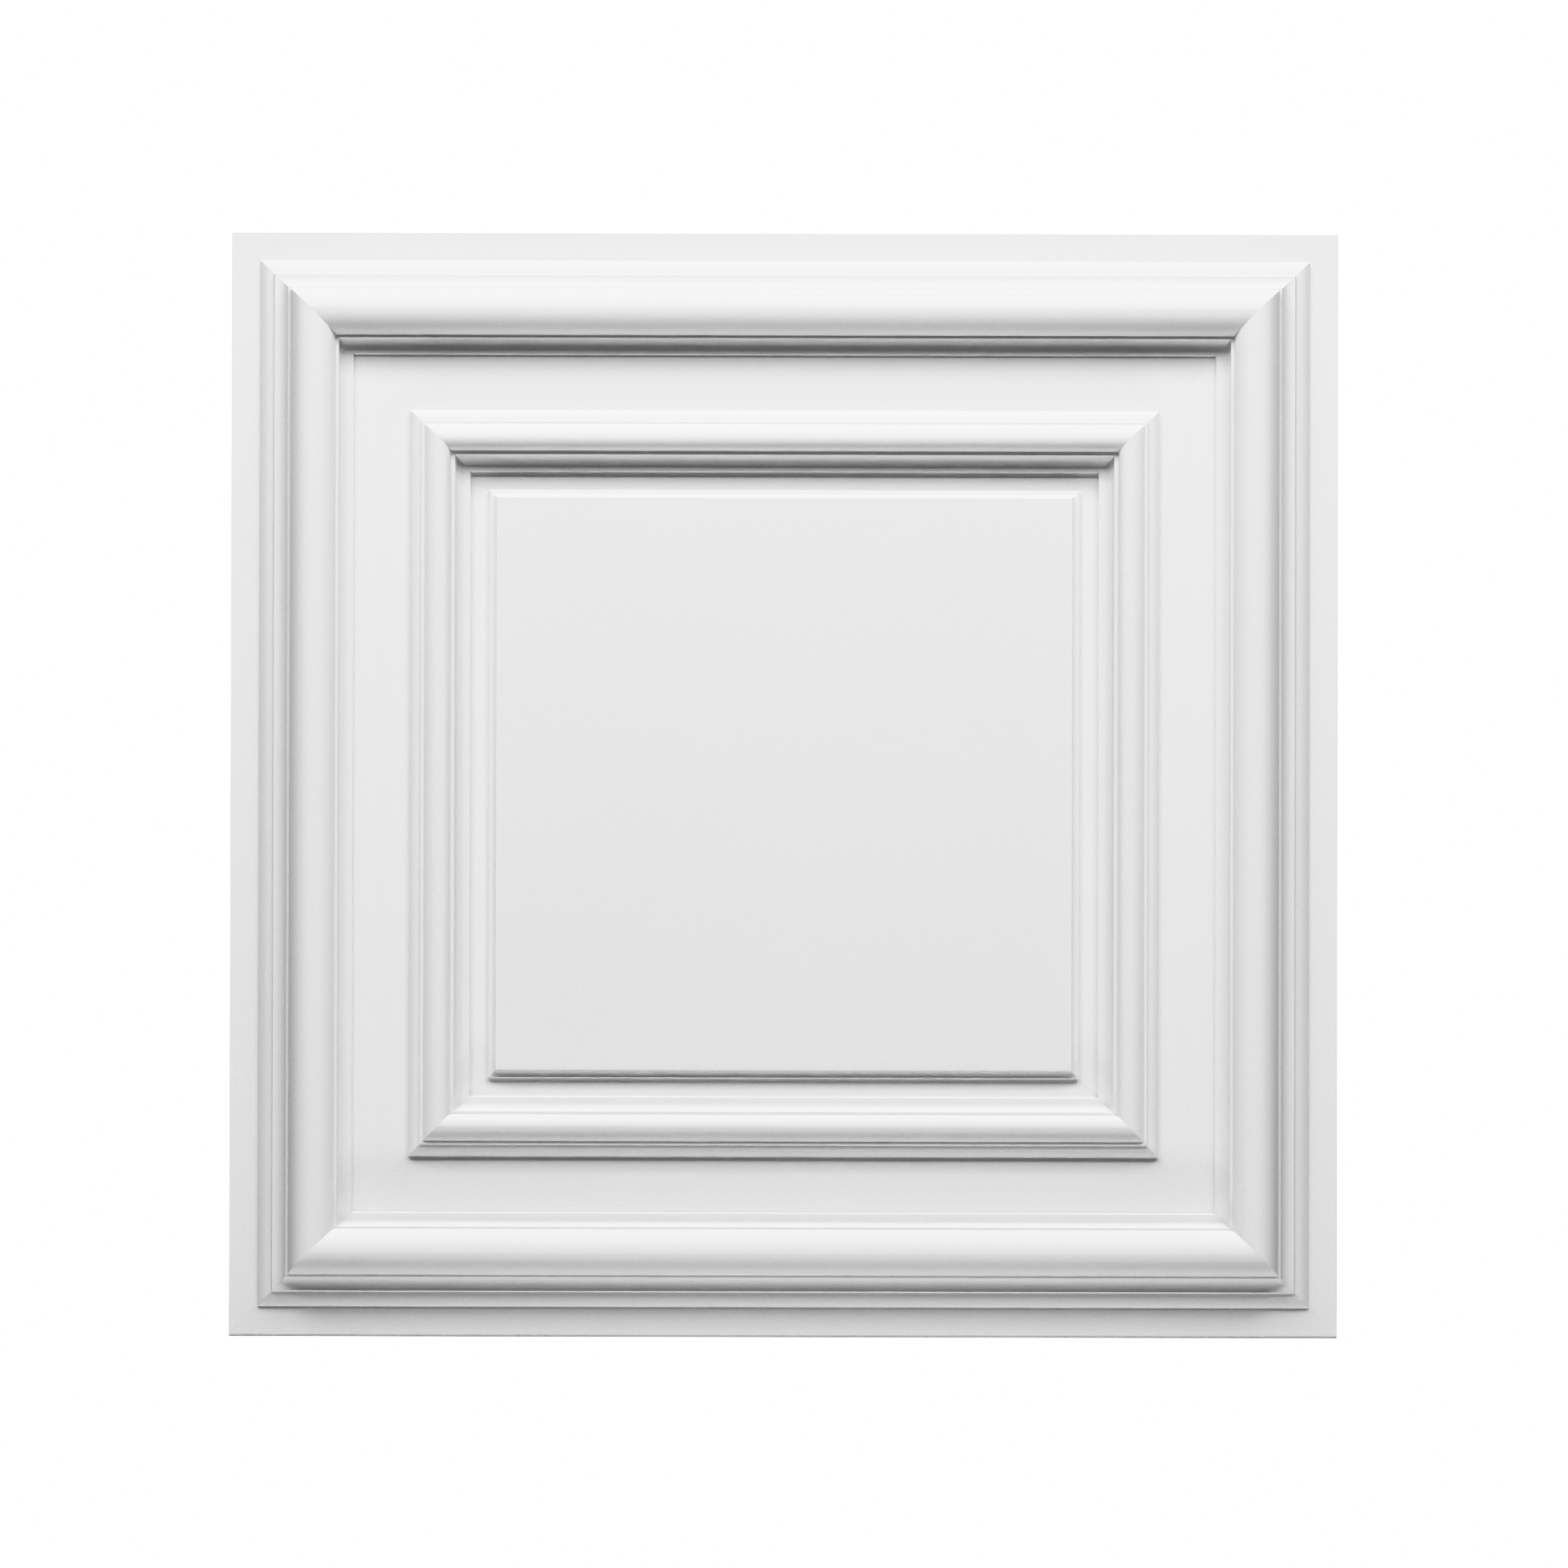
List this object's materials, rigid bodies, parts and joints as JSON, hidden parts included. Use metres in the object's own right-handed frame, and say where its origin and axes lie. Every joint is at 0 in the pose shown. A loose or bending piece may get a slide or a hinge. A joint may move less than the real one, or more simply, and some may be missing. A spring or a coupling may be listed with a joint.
{
  "type": "decorative ceiling panel",
  "caption": "Square moulded ceiling panel with a flat rim, mitred raised frame mouldings, a sunk channel and a flat raised centre; lies in a grid or is glued up.",
  "frame": {"origin": "centre of the flat back face, which is the underside as the panel lies face up", "axes": "+Z out of the back through the decorated face, +Y towards the top edge of the picture, +X towards its right edge"},
  "size_m": [0.595, 0.595, 0.032],
  "materials": {
    "panel": "matt white primed foam"
  },
  "bodies": {
    "root": {"ceiling_panel": "panel"}
  },
  "joints": []
}
